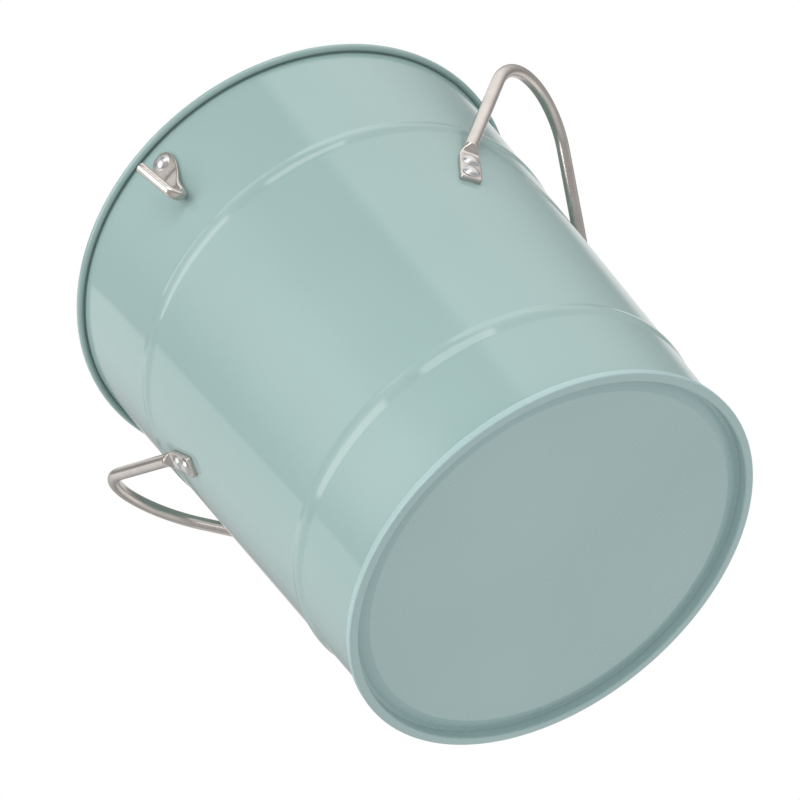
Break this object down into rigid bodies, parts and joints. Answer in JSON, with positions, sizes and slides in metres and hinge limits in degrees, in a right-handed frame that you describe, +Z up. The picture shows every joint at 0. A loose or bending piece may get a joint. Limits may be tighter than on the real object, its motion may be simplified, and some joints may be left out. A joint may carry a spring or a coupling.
{
  "type": "pail",
  "caption": "Tapered painted steel pail with raised beads, rolled rim, seamed base, fixed arch handles on opposite sides and a small riveted hook under the rim.",
  "frame": {"origin": "centre of the ring the pail stands on, in the floor plane", "axes": "+Z up along the pail's axis towards the open rim; +X towards the right handle, the handles lie along X; the hook is on the -Y side"},
  "size_m": [0.257, 0.2217, 0.2228],
  "materials": {
    "painted_sheet": "glossy pale sage green enamel over steel sheet",
    "plain_wire": "plain drawn steel wire, hidden in the rim",
    "seam_compound": "dull sealing compound, hidden in the seam",
    "handle_steel": "satin nickel-plated steel, warm grey",
    "rivet_metal": "bright smooth rivet metal"
  },
  "bodies": {
    "root": {"body": "painted_sheet", "rim_wire": "plain_wire", "base_pan": "painted_sheet", "seam_seal": "seam_compound", "handle_left": "handle_steel", "handle_right": "handle_steel", "hook": "handle_steel", "rivet_left_1": "rivet_metal", "rivet_left_2": "rivet_metal", "rivet_left_3": "rivet_metal", "rivet_left_4": "rivet_metal", "rivet_right_1": "rivet_metal", "rivet_right_2": "rivet_metal", "rivet_right_3": "rivet_metal", "rivet_right_4": "rivet_metal", "rivet_hook": "rivet_metal", "washer_left_1": "rivet_metal", "washer_left_2": "rivet_metal", "washer_left_3": "rivet_metal", "washer_left_4": "rivet_metal", "washer_right_1": "rivet_metal", "washer_right_2": "rivet_metal", "washer_right_3": "rivet_metal", "washer_right_4": "rivet_metal", "washer_hook": "rivet_metal"}
  },
  "joints": []
}
